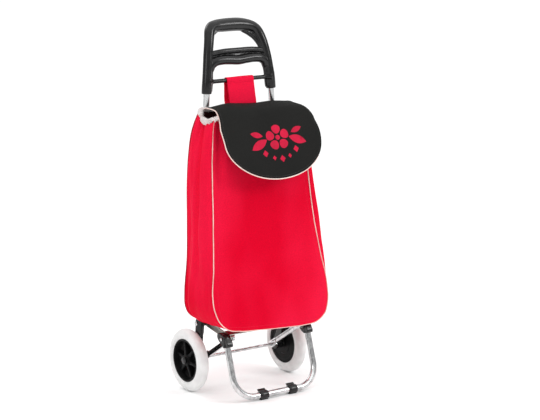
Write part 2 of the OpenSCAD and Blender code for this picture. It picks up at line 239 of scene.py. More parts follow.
def outwards(piece):
    """Turns the normals of a closed piece to its outside."""
    shape = bmesh.new()
    shape.from_mesh(piece.data)
    bmesh.ops.recalc_face_normals(shape, faces=shape.faces)
    shape.to_mesh(piece.data)
    shape.free()
    return piece


def modify(piece, kind, **settings):
    """Adds a modifier with its settings."""
    made = piece.modifiers.new(kind.lower(), kind)
    for key, value in settings.items():
        setattr(made, key, value)


def plate(name, outline, x0, x1, material, bevel=0.0):
    """A (y, z) outline as a plate from x0 to x1, with rounded edges."""
    outline = [tuple(p) for p in outline]
    points = [(x, y, z) for x in (x0, x1) for y, z in outline]
    n = len(outline)
    faces = [tuple(range(n))[::-1], tuple(range(n, 2 * n))]
    faces += [(k, (k + 1) % n, n + (k + 1) % n, n + k) for k in range(n)]
    piece = outwards(mesh_piece(name, points, faces, material))
    if bevel:
        modify(piece, "BEVEL", width=bevel, segments=3, limit_method="ANGLE",
               angle_limit=math.radians(50))
    return piece


def bake(piece):
    """Makes what the modifiers show the piece's own mesh."""
    graph = bpy.context.evaluated_depsgraph_get()
    mesh = bpy.data.meshes.new_from_object(piece.evaluated_get(graph))
    piece.modifiers.clear()
    piece.data = mesh
    return piece


def join(name, parts):
    """Joins meshes into one piece, which takes the first one's materials."""
    shape = bmesh.new()
    materials = list(parts[0].data.materials)
    for part in parts:
        if part.modifiers:
            bake(part)
        shape.from_mesh(part.data)
    mesh = bpy.data.meshes.new(name)
    shape.to_mesh(mesh)
    shape.free()
    for part in parts:
        bpy.data.objects.remove(part)
    for material in materials:
        mesh.materials.append(material)
    return add_object(name, mesh)


def mould(name, parts, voxel, rounds):
    """Melts overlapping closed shapes into one moulding with soft inner corners."""
    piece = join(name, parts)
    modify(piece, "REMESH", mode="VOXEL", voxel_size=voxel, use_smooth_shade=True)
    modify(piece, "SMOOTH", factor=0.5, iterations=rounds)
    return bake(piece)


def thicken(piece, thickness, inner=None, offset=-1.0):
    """Gives cloth its thickness, with another material on its inner face."""
    if inner:
        piece.data.materials.append(inner)
    modify(piece, "SOLIDIFY", thickness=thickness, offset=offset, use_even_offset=True,
           material_offset=1 if inner else 0)
    return piece


def facing(piece, away_from):
    """Turns an open surface so that its normals point away from a point."""
    mesh = piece.data
    centre = np.array(away_from)
    out = sum((np.array(f.center) - centre).dot(f.normal) * f.area for f in mesh.polygons)
    if out < 0:
        mesh.flip_normals()
    return piece


def settle(piece, body, slot, *replaced):
    """A piece rides on a body and stands in for CAD nodes; slot is not used."""
    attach(piece, body)
    if replaced:
        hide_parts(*replaced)


def circle(centre, radius, start, end, count):
    """Points round a 2-D centre, from one angle in degrees to another."""
    return [[centre[0] + radius * math.cos(a), centre[1] + radius * math.sin(a)]
            for a in np.radians(np.linspace(start, end, count))]


def stitch(name, thread, paths, ways, length, width, height):
    """Stitches along paths, raised along each path's ways, with gaps half a stitch long."""
    gap = length / 2
    points, faces = [], []
    for path, way in zip(paths, ways):
        along = lengths(path)
        for start in np.arange(gap, along[-1] - length, length + gap):
            marks = np.linspace(start, start + length, 4)
            line, up = between(path, along, marks), between(way, along, marks)
            side = np.cross(up, unit(line[-1] - line[0]))
            first = len(points)
            for k, lift in enumerate((0.1, 1, 1, 0.1)):
                points += [line[k] - side[k] * width / 2, line[k] + up[k] * height * lift,
                           line[k] + side[k] * width / 2]
            for k in range(3):
                a = first + 3 * k
                faces += [(a, a + 3, a + 4, a + 1), (a + 1, a + 4, a + 5, a + 2),
                          (a + 2, a + 5, a + 3, a)]
            faces += [(first, first + 1, first + 2), (first + 11, first + 10, first + 9)]
    return mesh_piece(name, points, faces, thread)


# ---------------- materials

def shader(name, metallic=0.0, sheen=0.0, specular=0.5):
    """A new material, its node tree and the object's own coordinates."""
    material = bpy.data.materials.new(name)
    material.use_nodes = True
    tree = material.node_tree
    surface = tree.nodes["Principled BSDF"]
    levels = {"Metallic": metallic, "Sheen Weight": sheen, "Sheen Roughness": 0.4,
              "Specular IOR Level": specular}
    for key, value in levels.items():
        surface.inputs[key].default_value = value
    place = tree.nodes.new("ShaderNodeTexCoord").outputs["Object"]
    return material, tree, place


def node(tree, kind, inputs, **settings):
    """A node with its settings and its inputs, which are values or other nodes' outputs."""
    made = tree.nodes.new("ShaderNode" + kind)
    for key, value in settings.items():
        setattr(made, key, value)
    for key, value in inputs.items():
        if isinstance(value, bpy.types.NodeSocket):
            tree.links.new(value, made.inputs[key])
        else:
            made.inputs[key].default_value = value
    return made


def ramp(tree, factor, *stops):
    """A colour that follows factor through (place, colour) stops."""
    made = node(tree, "ValToRGB", {"Fac": factor})
    elements = made.color_ramp.elements
    for element, (place, colour) in zip(elements, (stops[0], stops[-1])):
        element.position, element.color = place, (*colour, 1)
    for place, colour in stops[1:-1]:
        elements.new(place).color = (*colour, 1)
    return made.outputs["Color"]


def noise_at(tree, place, scale, detail):
    """Noise at places, with scale waves a metre."""
    return node(tree, "TexNoise", {"Vector": place, "Scale": scale, "Detail": detail}).outputs["Fac"]


def spread(tree, factor, low, high):
    """A noise's usual range stretched over low to high."""
    made = node(tree, "MapRange", {
        "Value": factor, "From Min": 0.3, "From Max": 0.7, "To Min": low, "To Max": high})
    return made.outputs["Result"]


def finish_surface(material, colour, roughness, *bumps):
    """Links the colour, the roughness and a chain of (height, distance, strength) bumps."""
    tree = material.node_tree
    surface = tree.nodes["Principled BSDF"]
    tree.links.new(colour, surface.inputs["Base Color"])
    tree.links.new(roughness, surface.inputs["Roughness"])
    normal = None
    for height, distance, strength in bumps:
        inputs = {"Height": height, "Distance": distance, "Strength": strength}
        if normal is not None:
            inputs["Normal"] = normal
        normal = node(tree, "Bump", inputs).outputs["Normal"]
    tree.links.new(normal, surface.inputs["Normal"])
    return material


THREAD = 0.9 * MM


def woven(name, colour, shade):
    """Plain woven cloth: threads that pass over and under each other, and soft upright zones of lighter
    and darker colour that are partly random tone and partly painted sheen highlight.
    """
    material, tree, place = shader(name, specular=0.025)
    cloth = node(tree, "UVMap", {}, uv_map="cloth").outputs["UV"]
    waves = {"Vector": cloth, "Scale": math.tau / 20 / THREAD}
    warp, weft = [node(tree, "TexWave", waves, bands_direction=way).outputs["Fac"] for way in "XY"]
    over = node(tree, "TexChecker", {"Vector": cloth, "Scale": 1 / THREAD}).outputs["Fac"]
    weave = node(tree, "Mix", {"Factor": over, "A": warp, "B": weft}).outputs["Result"]
    slub = noise_at(tree, place, 420, 2)
    # Soft upright zones between shade and colour: partly random tone, partly painted sheen highlight
    tall = node(tree, "Mapping", {"Vector": place, "Scale": (5.5, 5.5, 3.0)}).outputs["Vector"]
    tone_and_sheen = noise_at(tree, tall, 1.0, 2.5)
    tint = ramp(tree, tone_and_sheen, (0.36, shade), (0.62, colour))
    thin = ramp(tree, slub, (0.3, (0.84, 0.84, 0.84)), (0.65, (1, 1, 1)))
    mixed = node(tree, "Mix", {0: 1.0, 6: tint, 7: thin}, data_type="RGBA", blend_type="MULTIPLY")
    creases = noise_at(tree, place, 55, 5)
    return finish_surface(material, mixed.outputs[2], spread(tree, slub, 0.5, 0.7),
                          (creases, 0.9 * MM, 0.35), (weave, 0.16 * MM, 0.4))


def plain_cloth(name, colour, shade, scale=300, sheen=0.1, depth=0.3 * MM):
    """Fine cloth or cord whose threads are too small to draw one by one."""
    material, tree, place = shader(name, sheen=sheen, specular=0.15)
    fine, soft = noise_at(tree, place, scale, 3), noise_at(tree, place, 30, 4)
    tint = ramp(tree, soft, (0.32, shade), (0.62, colour))
    return finish_surface(material, tint, spread(tree, fine, 0.55, 0.75),
                          (soft, 1.2 * MM, 0.3), (fine, depth, 0.35))


def plated(name, bright, dull, rough, grain):
    """Plated steel with a drawn grain; its colour runs lighter and darker in long bands along the grain
    and in cloudy spots, as painted reflections.
    """
    material, tree, place = shader(name, metallic=1.0)
    stretched = node(tree, "Mapping", {"Vector": place, "Scale": grain}).outputs["Vector"]
    drawn, cloud = noise_at(tree, stretched, 260, 3), noise_at(tree, place, 60, 3)
    # Lighter and darker bands in the plating's colour: painted reflections
    reflection_streaks = node(tree, "Mix", {"Factor": 0.6, "A": drawn, "B": cloud}).outputs["Result"]
    tint = ramp(tree, reflection_streaks, (0.38, dull), (0.6, bright))
    return finish_surface(material, tint, spread(tree, drawn, *rough), (drawn, 0.04 * MM, 0.10))


def moulded(name, colour, rough, grain=900, depth=0.05 * MM, specular=0.35):
    """Injection-moulded plastic with a fine eroded grain and slight flow marks."""
    material, tree, place = shader(name, specular=specular)
    fine, flow = noise_at(tree, place, grain, 2), noise_at(tree, place, 35, 3)
    lighter = tuple(c * 1.5 + 0.002 for c in colour)
    tint = ramp(tree, flow, (0.3, colour), (0.75, lighter))
    return finish_surface(material, tint, spread(tree, flow, *rough), (fine, depth, 0.5))


def foam_rubber(name):
    """Pale tyre foam: tiny closed cells, with soft paler and greyer areas."""
    material, tree, place = shader(name, specular=0.3)
    cells = node(tree, "TexVoronoi", {"Vector": place, "Scale": 900}).outputs["Distance"]
    soft = noise_at(tree, place, 45, 4)
    tint = ramp(tree, soft, (0.3, (0.70, 0.70, 0.695)), (0.65, (0.80, 0.80, 0.795)))
    return finish_surface(material, tint, spread(tree, soft, 0.5, 0.68), (cells, 0.12 * MM, 0.4))


red_cloth = woven("red_polyester", (0.86, 0.009, 0.048), (0.73, 0.0006, 0.022))
# The loop's cloth is a lighter copy of the bag's red: painted light on the hanging loop
lit_loop_cloth = woven("red_strap_painted_light", (0.98, 0.012, 0.060), (0.92, 0.008, 0.050))
charcoal_cloth = woven("charcoal_polyester", (0.020, 0.020, 0.019), (0.015, 0.015, 0.0145))
# The bag's inner face is a dark red: painted shade inside the bag
shaded_inside_cloth = plain_cloth("inside_painted_shade", (0.10, 0.012, 0.016), (0.06, 0.008, 0.01))
dark_inside = plain_cloth("flap_lining", (0.035, 0.03, 0.03), (0.02, 0.018, 0.018))
collar_cloth = plain_cloth("gathered_nylon", (0.80, 0.755, 0.74), (0.62, 0.55, 0.54), depth=0.5 * MM)
piping_cloth = plain_cloth("piping_cord", (0.88, 0.62, 0.57), (0.76, 0.42, 0.38), scale=800)
pale_piping = plain_cloth("pale_piping_cord", (0.90, 0.76, 0.70), (0.80, 0.58, 0.53), scale=800)
# Dark red binding tape: painted shade along the bag's back outline
shaded_binding_cloth = plain_cloth("red_binding_painted_shade", (0.42, 0.004, 0.02), (0.28, 0.002, 0.014), scale=700)
red_thread = plain_cloth("red_thread", (0.85, 0.02, 0.06), (0.7, 0.01, 0.04), scale=1500)
dark_thread = plain_cloth("charcoal_thread", (0.06, 0.06, 0.06), (0.04, 0.04, 0.04), scale=1500)
ink = plain_cloth("red_print", (0.60, 0.006, 0.045), (0.46, 0.005, 0.035), scale=900, sheen=0.02)
chrome = plated("bright_plating", (0.74, 0.745, 0.75), (0.46, 0.465, 0.47), (0.17, 0.26), (1, 1, 0.05))
zinc = plated("zinc_plating", (0.56, 0.58, 0.53), (0.36, 0.38, 0.35), (0.28, 0.42), (1, 0.2, 1))
black = moulded("black_moulding", (0.0055, 0.0055, 0.0058), (0.17, 0.28), specular=0.38)
hub_black = moulded("hub_moulding", (0.0032, 0.0032, 0.0034), (0.3, 0.42), grain=500, specular=0.07)
board_black = moulded("fibre_board", (0.03, 0.027, 0.024), (0.6, 0.8), grain=300, depth=0.2 * MM)
tyre_foam = foam_rubber("tyre_foam")


# ---------------- camera, floor and light

CAMERA_AT = (-2.6082, -3.8683, 1.3720)
CAMERA_AIM = (0.0905, 0.035, 0.4392)
CAMERA_ROLL = -0.5414
CAMERA_LENS = 126.35
FLOOR_HALF = 24.0
SKY_STRENGTH = 1.36
# Place, aim, side in metres and power in watts of each area light
LIGHTS = {"key": ((1.9, -2.4, 1.9), (0, 0, 0.5), 0.9, 27),
          "fill": ((-2.7, -0.9, 1.4), (0, 0, 0.4), 0.8, 9),
          "back": ((-0.6, 2.2, 2.2), (0, 0, 0.5), 1.4, 16)}


def aim(thing, target):
    thing.rotation_mode = "QUATERNION"
    thing.rotation_quaternion = (Vector(target) - thing.location).to_track_quat("-Z", "Y")


def make_camera():
    data = bpy.data.cameras.new("camera")
    camera = add_object("camera", data)
    camera.location = CAMERA_AT
    aim(camera, CAMERA_AIM)
    roll = Quaternion((0, 0, 1), math.radians(CAMERA_ROLL))
    camera.rotation_quaternion = camera.rotation_quaternion @ roll
    data.lens = CAMERA_LENS
    data.clip_end = 60
    bpy.context.scene.camera = camera


def make_floor():
    material, tree, place = shader("studio_floor", specular=0.2)
    soft = noise_at(tree, place, 0.8, 3)
    tint = ramp(tree, soft, (0.3, (0.975, 0.975, 0.975)), (0.7, (0.985, 0.985, 0.985)))
    finish_surface(material, tint, spread(tree, soft, 0.6, 0.7), (soft, MM, 0.05))
    corners = [(x * FLOOR_HALF, y * FLOOR_HALF, 0) for x, y in ((-1, -1), (1, -1), (1, 1), (-1, 1))]
    mesh_piece("floor", corners, [(0, 1, 2, 3)], material)


def make_light(name, place, target, size, power):
    data = bpy.data.lights.new(name, "AREA")
    data.shape, data.size, data.energy = "SQUARE", size, power
    light = add_object(name, data)
    light.location = place
    aim(light, target)


def make_world():
    """A plain bright sky, dimmer near the horizon so that tubes and mouldings get some contrast."""
    world = bpy.data.worlds.new("studio")
    world.use_nodes = True
    bpy.context.scene.world = world
    tree = world.node_tree
    way = node(tree, "TexCoord", {}).outputs["Generated"]
    height = node(tree, "SeparateXYZ", {"Vector": way}).outputs["Z"]
    greys = ((0.0, 0.16), (0.25, 0.32), (0.7, 1.0))
    sky = ramp(tree, height, *[(place, (grey,) * 3) for place, grey in greys])
    background = tree.nodes["Background"]
    tree.links.new(sky, background.inputs["Color"])
    background.inputs["Strength"].default_value = SKY_STRENGTH


make_camera()
make_floor()
make_world()
for name, light in LIGHTS.items():
    make_light(name, *light)
bpy.context.scene.view_settings.view_transform = "Standard"


# ---------------- wheels

axle_y, axle_z = joint_at["wheel_left_spin"].y, joint_at["wheel_left_spin"].z
tyre_low, tyre_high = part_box("tyre_right")
tyre_r, tyre_w = (tyre_high.z - tyre_low.z) / 2, tyre_high.x - tyre_low.x
hub_low, hub_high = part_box("wheel_hub_right")
hub_r = (hub_high.z - hub_low.z) / 2


def make_tyre(word, side):
    """A foam tyre: a full round tread with two shallow moulded lines and a bead at the hub."""
    tread, groove_depth, groove_width = 17 * MM, 0.55 * MM, 2.2
    centre = (joint_at[f"wheel_{word}_spin"].x, axle_y, axle_z)
    half, shoulder = tyre_w / 2, tyre_r - tread
    bead = ((-0.2, 3), (1.2, 1.2), (2.8, 1.6), (3.6, 0.6))
    profile = [(hub_r + r * MM, -half + x * MM) for r, x in bead]
    for degrees in np.linspace(-90, 90, 49):
        a = math.radians(degrees)
        groove = sum(hump(degrees, g, groove_width) for g in (-34, 34, -62, 62))
        r = tread - groove_depth * groove
        profile.append((shoulder + r * math.cos(a) ** 0.92, half * math.sin(a) * (1 - 0.012 * groove)))
    profile += [(r, -x) for r, x in profile[3::-1]]
    tyre = lathe(f"tyre_{word}_foam", profile, centre, side, tyre_foam, steps=144)
    settle(tyre, f"wheel_{word}", "white_tyre", f"tyre_{word}")


# Half section of the hub as (radius, distance outwards from its inner face) in millimetres
HUB_SECTION = [[4.6, 0.5], [12, 0.5], [13, 1.6], [14, 0.3], [30, 0.3], [31, 1.4], [45, 1.4],
               [46, 0.2], [54.2, 0.2], [54.9, 1], [54.9, 25], [54.2, 25.8], [51.4, 25.8],
               [50.2, 25.2], [48.4, 21], [47.2, 12.4], [45.6, 10.2], [43, 9.2], [28, 6.6],
               [20, 6.4], [17.2, 7.4], [15.6, 10], [14.2, 22.2], [13.2, 23.4], [4.6, 23.4]]
RIB = [[12.5, -5.2], [30, -3.4], [50.5, -4.6], [50.5, 4.6], [30, 3.4], [12.5, 5.2]]


def make_hub(word, side):
    """A moulded hub: rim, dished web, boss and six ribs that are tallest at the boss."""
    inner_x = side * hub_low.x
    ribs, boss_r, rib_end, rib_length, rise = 6, 12 * MM, 50 * MM, 38 * MM, 4.2 * MM
    centre = (inner_x, axle_y, axle_z)
    parts = [lathe("disc", mm(HUB_SECTION), centre, side, hub_black, steps=120)]
    for k in range(ribs):
        angle = math.radians(360 / ribs * k + 12)
        radial = np.array([math.cos(angle), math.sin(angle)])
        across = np.array([-math.sin(angle), math.cos(angle)])
        shape = rounded(RIB, 3, 4) * MM
        outline = [(axle_y, axle_z) + p[0] * radial + p[1] * across for p in shape]
        x0, x1 = inner_x + side * 5 * MM, inner_x + side * 17.5 * MM
        rib = bake(plate("rib", outline, x0, x1, hub_black, 1.2 * MM))
        for vertex in rib.data.vertices:
            away = math.hypot(vertex.co.y - axle_y, vertex.co.z - axle_z)
            if abs(vertex.co.x - inner_x) > 12 * MM and away < rib_end:
                vertex.co.x += side * rise * (1 - (away - boss_r) / rib_length) ** 1.5
        parts.append(rib)
    hub = join(f"wheel_hub_{word}_moulding", parts)
    sharpen(hub)
    settle(hub, f"wheel_{word}", "black_plastic", f"wheel_hub_{word}")


def sharpen(piece, angle=40):
    """Keeps edges that turn more than angle sharp, and the rest smooth."""
    shape = bmesh.new()
    shape.from_mesh(piece.data)
    for edge in shape.edges:
        edge.smooth = len(edge.link_faces) != 2 or edge.calc_face_angle(0) < math.radians(angle)
    for face in shape.faces:
        face.smooth = True
    shape.to_mesh(piece.data)
    shape.free()


def make_cap(word, side):
    """The push-on cap at the end of the axle, with a domed face."""
    start, rim, radius, height = 163.5 * MM, 2.6 * MM, 9.5 * MM, 5 * MM
    profile = [(THIN, 0), (9.2 * MM, 0), (radius, 0.6 * MM), (radius, rim)]
    for k in range(1, 9):
        a = math.radians(90 * k / 8)
        profile.append((max(THIN, radius * math.cos(a)), rim + (height - rim) * math.sin(a)))
    return lathe(f"axle_cap_{word}", profile, (side * start, axle_y, axle_z), side, black, steps=48)


for word, side in SIDES.items():
    make_tyre(word, side)
    make_hub(word, side)
caps = join("axle_end_caps", [make_cap(word, side) for word, side in SIDES.items()])
settle(caps, "frame", "black_plastic", "axle_caps")


# ---------------- frame mouldings

pivot_a, pivot_b = joint_at["base_fold"], joint_at["foot_fold"]
CROSSBAR_Z = 782
UPRIGHT_Y = 35


def upright_x(z):
    """Distance of an upright's middle from the middle plane at a height, both in millimetres."""
    return 127.2 + (z - 175.6) * (96.4 - 127.2) / (753 - 175.6)


def mirrored(path, side):
    return mm(path) * (side, 1, 1)


# Middle line of each leg of the handle above its socket, up to the middle of the top bar
ARCH = {"left": [[86.5, 41.5, 843], [78.7, 48, 878], [74.6, 52.5, 893], [70.4, 56.5, 904.5],
                 [62.5, 61, 912], [46, 65.5, 914.8], [22, 68, 915.6], [0, 68.5, 915.8]],
        "right": [[86.8, 42, 843], [79, 49.5, 878], [75, 54, 890], [69, 59, 900.5],
                  [59, 63.5, 907.5], [43, 67, 912], [22, 68.5, 915], [0, 68.5, 915.8]]}
LEG_RADII = [12.6, 12.7, 12.4, 11.8, 11.9, 12.4, 12.9, 13.6, 14.6, 15.8, 16.8, 17.0]
FLANGE = [[86.8, 35.5, 757], [85.4, 35.5, 770], [84.2, 36, 790], [82, 38, 808], [75.5, 39.2, 824],
          [64, 39, 831]]
WEB = {"left": [[80, 44, 846], [76.5, 49, 864], [72, 54.5, 880], [65, 60, 892], [54, 64, 900],
                [40, 67, 908]],
       "right": [[79, 44, 846], [72, 49.5, 865], [63, 56, 880], [50, 61.5, 891.5], [35, 65, 900.5],
                 [22, 68, 909]]}
LOW_RIDGE = [[84, 37.5, 812], [79, 37, 822], [68, 36.5, 829.5], [48, 36, 832.5], [24, 36, 831.5]]
HIGH_RIDGE = [[86, 43, 845], [74, 43, 849.5], [50, 42, 853]]


def both_halves(half, middle):
    """A path from the left end to the right end, given from its right end to its middle."""
    return [[-x, y, z] for x, y, z in half] + [middle] + half[::-1]


def make_handle():
    """The handle: round legs with an inner flange, a thick bowed top bar, a grip with two ridges."""
    parts = []

    def bar(path, count, radii, sides, flat=1.0):
        parts.append(tube("bar", even(path, count), radii, black, sides, flat=flat))

    socket = [[upright_x(753), 35, 753], [upright_x(765), 35, 765], [94.6, 35, 782], [92.4, 36.5, 803]]
    for word, side in SIDES.items():
        leg = mirrored(socket + ARCH[word], side)
        along = np.linspace(0, lengths(even(leg, 70))[-1], 70)
        bar(leg, 70, smooth(mm(LEG_RADII), lengths(leg), along), 28)
        bar(mirrored(FLANGE, side), 36, np.linspace(6.6, 8.2, 36) * MM, 18)
        bar(mirrored(WEB[word], side), 30, 6.8 * MM, 16)
    bar(mm(both_halves(LOW_RIDGE, [0, 36, 829.5])), 90, 9.8 * MM, 24, flat=1.16)
    bar(mm(both_halves(HIGH_RIDGE, [0, 41.5, 854])), 60, 6.6 * MM, 20)
    bar(mm([[-84, 46, 838], [0, 46, 843], [84, 46, 838]]), 40, 7.0 * MM, 16, flat=0.7)
    crossbar = even(mm([[x, UPRIGHT_Y, CROSSBAR_Z] for x in (-92, 0, 92)]), 60)
    flare = 5.4 + 6.5 * np.clip((np.abs(crossbar[:, 0]) / MM - 74) / 14, 0, 1.2) ** 2
    parts.append(tube("crossbar", crossbar, flare * MM, black, 20))
    handle = mould("handle_moulding", parts, 1.2 * MM, 5)
    settle(handle, "frame", "black_plastic", "handle")


def boss(centre, side, x0, x1, radius):
    """A short round boss between two distances from the middle plane, with a soft outer edge."""
    edge = 1.2 * MM
    profile = [(THIN, x0), (radius, x0), (radius, x1 - edge),
               (radius - 0.35 * edge, x1 - 0.3 * edge), (radius - edge, x1), (THIN, x1)]
    return lathe("boss", profile, (0, centre[0], centre[1]), side, black, 40)


def make_bracket(word, side):
    """The moulded bracket that holds an upright, the rear pivot and the axle."""
    blade = rounded([[26, 183], [46, 183], [46.5, 130], [66, 92], [64, 72], [50, 66], [41, 78],
                     [31, 126], [27, 158]], 6) * MM
    sleeve = [[upright_x(z), UPRIGHT_Y, z] for z in (150, 160, 172, 184.5)]
    parts = [plate("blade", blade, side * 121 * MM, side * 133.2 * MM, black),
             tube("sleeve", even(mirrored(sleeve, side), 16), 11.2 * MM, black, 32),
             boss((pivot_a.y, pivot_a.z), side, 111.8 * MM, 132 * MM, 8.5 * MM),
             boss((axle_y, axle_z), side, 111.4 * MM, 133.6 * MM, 13.5 * MM)]
    rim = rounded([[33, 160], [41, 160], [42, 128], [57, 94], [52, 84], [46, 88], [36, 126]], 3) * MM
    body = mould("bracket", parts, 1.1 * MM, 6)
    face = plate("face", rim, side * 132 * MM, side * 134.4 * MM, black, 1.0 * MM)
    bracket = join(f"rear_bracket_{word}_moulding", [body, face])
    sharpen(bracket, 55)
    settle(bracket, "frame", "black_plastic", f"rear_bracket_{word}")


def make_rivets(name, body, replaced, centre, x0, x1, head, shank):
    """A pair of tubular rivets through a pivot's layers, with a rolled head at each end."""
    x0, x1, head, shank = [value * MM for value in (x0, x1, head, shank)]
    profile = [(THIN, x0 - 1.2 * MM), (head * 0.45, x0 - 1.5 * MM), (head * 0.8, x0 - 1.1 * MM),
               (head, x0 - 0.3 * MM), (head * 0.96, x0), (shank, x0 + 0.1 * MM),
               (shank, x1 - 0.1 * MM), (head * 0.96, x1), (head, x1 + 0.5 * MM),
               (head * 0.8, x1 + 1.5 * MM), (head * 0.55, x1 + 1.9 * MM),
               (head * 0.32, x1 + 1.4 * MM), (THIN, x1 + 0.9 * MM)]
    middle = (0, centre.y, centre.z)
    rivets = join(name, [lathe("rivet", profile, middle, side, chrome, 40) for side in SIDES.values()])
    settle(rivets, body, "tube_chrome", replaced)


def leg_point(height):
    """A point on the foot legs' middle line, that many millimetres above the cross tube's, as (y, z)."""
    foot, top = np.array([-121.8, 11.0]), np.array([-82.3, 136.0])
    return foot + unit(top - foot) * height


def make_knuckle(word, side):
    """The front knuckle: an ear round the pivot that runs into the socket of a foot leg."""
    b = np.array([pivot_b.y, pivot_b.z]) / MM
    ear = rounded([b + (24, 12), b + (8, 12), b + (-9, 10), b + (-24, -12), leg_point(129) + (-9, 3),
                   leg_point(131) + (11, 0), b + (12, -12), b + (25, -2)], 7) * MM

    def on_leg(*heights):
        return mirrored([[122.5, *leg_point(h)] for h in heights], side)

    parts = [plate("ear", ear, side * 112.8 * MM, side * 127 * MM, black),
             plate("ear_edge", ear, side * 126 * MM, side * 130 * MM, black),
             tube("socket", even(on_leg(131.5, 140, 150, 156), 20), 10.1 * MM, black, 32),
             tube("cap", on_leg(150, 156, 161, 165, 167), mm([10.1, 9.9, 8.6, 6.0, 2.0]), black, 32),
             tube("lip", even(on_leg(131.2, 133.5, 136), 6), 10.7 * MM, black, 32),
             boss((pivot_b.y, pivot_b.z), side, 112.8 * MM, 132.6 * MM, 11.5 * MM)]
    knuckle = mould(f"knuckle_{word}_moulding", parts, 1.0 * MM, 5)
    settle(knuckle, "foot", "black_plastic", f"knuckle_{word}")


def make_clip(word, side):
    """A snap-on foot clip: a split ring round the tube with a finger tab, a sole and grip ribs."""
    middle_x, half_width = side * 43.6, 11.5

    def slab(outline, inset, bevel=0.0):
        reach = half_width - inset
        outline = (outline + (-121.8, 11.0)) * MM
        return plate("slab", outline, (middle_x - reach) * MM, (middle_x + reach) * MM, black, bevel)

    outer, inner = [np.array(circle((0, 0), r, 80, 400, 56)) for r in (10.9, 8.05)]
    tab = [[4.5, 8.5], [7.5, 7.5], [12.6, 11.8], [11.4, 13.8], [9.2, 13.8], [3.6, 10.6]]
    sole = [[-6, -11], [6, -11], [5, -8.6], [-5, -8.6]]
    rib = rounded([[-1, 10.4], [1, 10.4], [1, 11.6], [-1, 11.6]], 0.3)
    parts = [slab(np.concatenate([outer, inner[::-1]]), 0, 0.6 * MM),
             slab(rounded(tab, 1.1), 1, 0.5 * MM), slab(rounded(sole, 0.8), 0.8, 0.4 * MM)]
    parts += [slab(rib @ turn(a), 2.5) for a in (20, 50, 80)]
    clip = join(f"foot_clip_{word}_moulding", parts)
    sharpen(clip)
    settle(clip, "foot", "black_plastic", f"foot_clip_{word}")


def turn(degrees):
    a = math.radians(degrees)
    return np.array([[math.cos(a), math.sin(a)], [-math.sin(a), math.cos(a)]])


def dress_node(name, material, bevel=0.0):
    """Gives a CAD node its finish, and soft edges where it has sharp ones."""
    piece = nodes[name]
    piece.data.materials.clear()
    piece.data.materials.append(material)
    if bevel:
        modify(piece, "WELD", merge_threshold=0.01 * MM)
        modify(piece, "BEVEL", width=bevel, segments=2, limit_method="ANGLE",
               angle_limit=math.radians(40), harden_normals=True)


make_handle()
for word, side in SIDES.items():
    make_bracket(word, side)
    make_knuckle(word, side)
    make_clip(word, side)
    for name in ("upright_", "side_bar_", "strut_"):
        flat = name != "upright_"
        dress_node(name + word, zinc if name == "side_bar_" else chrome, 0.5 * MM if flat else 0)
for name in ("base_strap_front", "base_strap_rear"):
    dress_node(name, zinc, 0.5 * MM)
for name in ("axle", "foot_tube", "knuckle_screws"):
    dress_node(name, chrome)
for name in ("axle_washers", "front_spacers"):
    dress_node(name, zinc, 0.3 * MM)

# Last four: both ends' distance from the middle plane, and the head's and shank's radius, in
# millimetres
make_rivets("rear_pivot_rivets", "frame", "rear_pivot_pins", pivot_a, 106.8, 139, 6.3, 4.0)
make_rivets("front_pivot_rivets", "platform", "front_pivot_pins", pivot_b, 98.2, 134, 4.6, 3.9)


# ---------------- bag

BACK_Y = 22.0
# Half of the bag's outline from the mouth to the middle of the bottom, in millimetres:
# back seam x and z, fullest line of the gusset x and z, front seam x and z.
BAG_ROWS = [
    [128, 711, 143, 690, 134, 704],
    [139, 690, 149, 668, 138, 680],
    [149, 664, 153, 652, 140, 650],
    [158, 615, 159, 604, 141, 600],
    [164, 545, 165, 535, 142, 530],
    [166, 440, 173, 430, 149, 425],
    [169, 345, 178, 338, 160, 335],
    [177, 268, 177, 266, 168, 268],
    [176, 228, 174, 226, 165, 228],
    [163, 203, 160, 198, 153, 196],
    [138, 189, 138, 181, 130, 177],
    [100, 186.5, 100, 175, 95, 171],
    [50, 186, 50, 174, 48, 170],
    [0, 186, 0, 173.5, 0, 169.5],
]
# At each height, how far the front seam stands outwards of those rows on the left and on the right,
# and how far the fullest line does on the right
SEAM_SHIFT = [[160, 0, 5, 2], [196, 0, 12, 5], [228, 1, 12.5, 6], [268, 1, 8.5, 5], [335, 1, 2.5, 4],
              [425, 6, -0.5, 3], [530, 6.5, -2, 1], [600, 3, -5, 0], [650, -3, -6, 0], [700, -8, -6, 0],
              [730, -8, -6, 0]]
HALF_STEPS = 150
GUSSET_STEPS = 34
# Depths of the gusset's soft folds, mouth gathers, long crease and lower corner pucker, and of the
# groove inside the front panel's left seam, in millimetres
FOLD_DEPTH, GATHER_DEPTH, CREASE_DEPTH, PUCKER_DEPTH, GROOVE_DEPTH = 4.5, 7.0, 12.0, 6.5, 10.0


def front_y(z):
    """How far back the bag's front lies at a height, in millimetres: it leans back as it rises."""
    return -100 + (z - 173) * math.tan(math.radians(5.54))


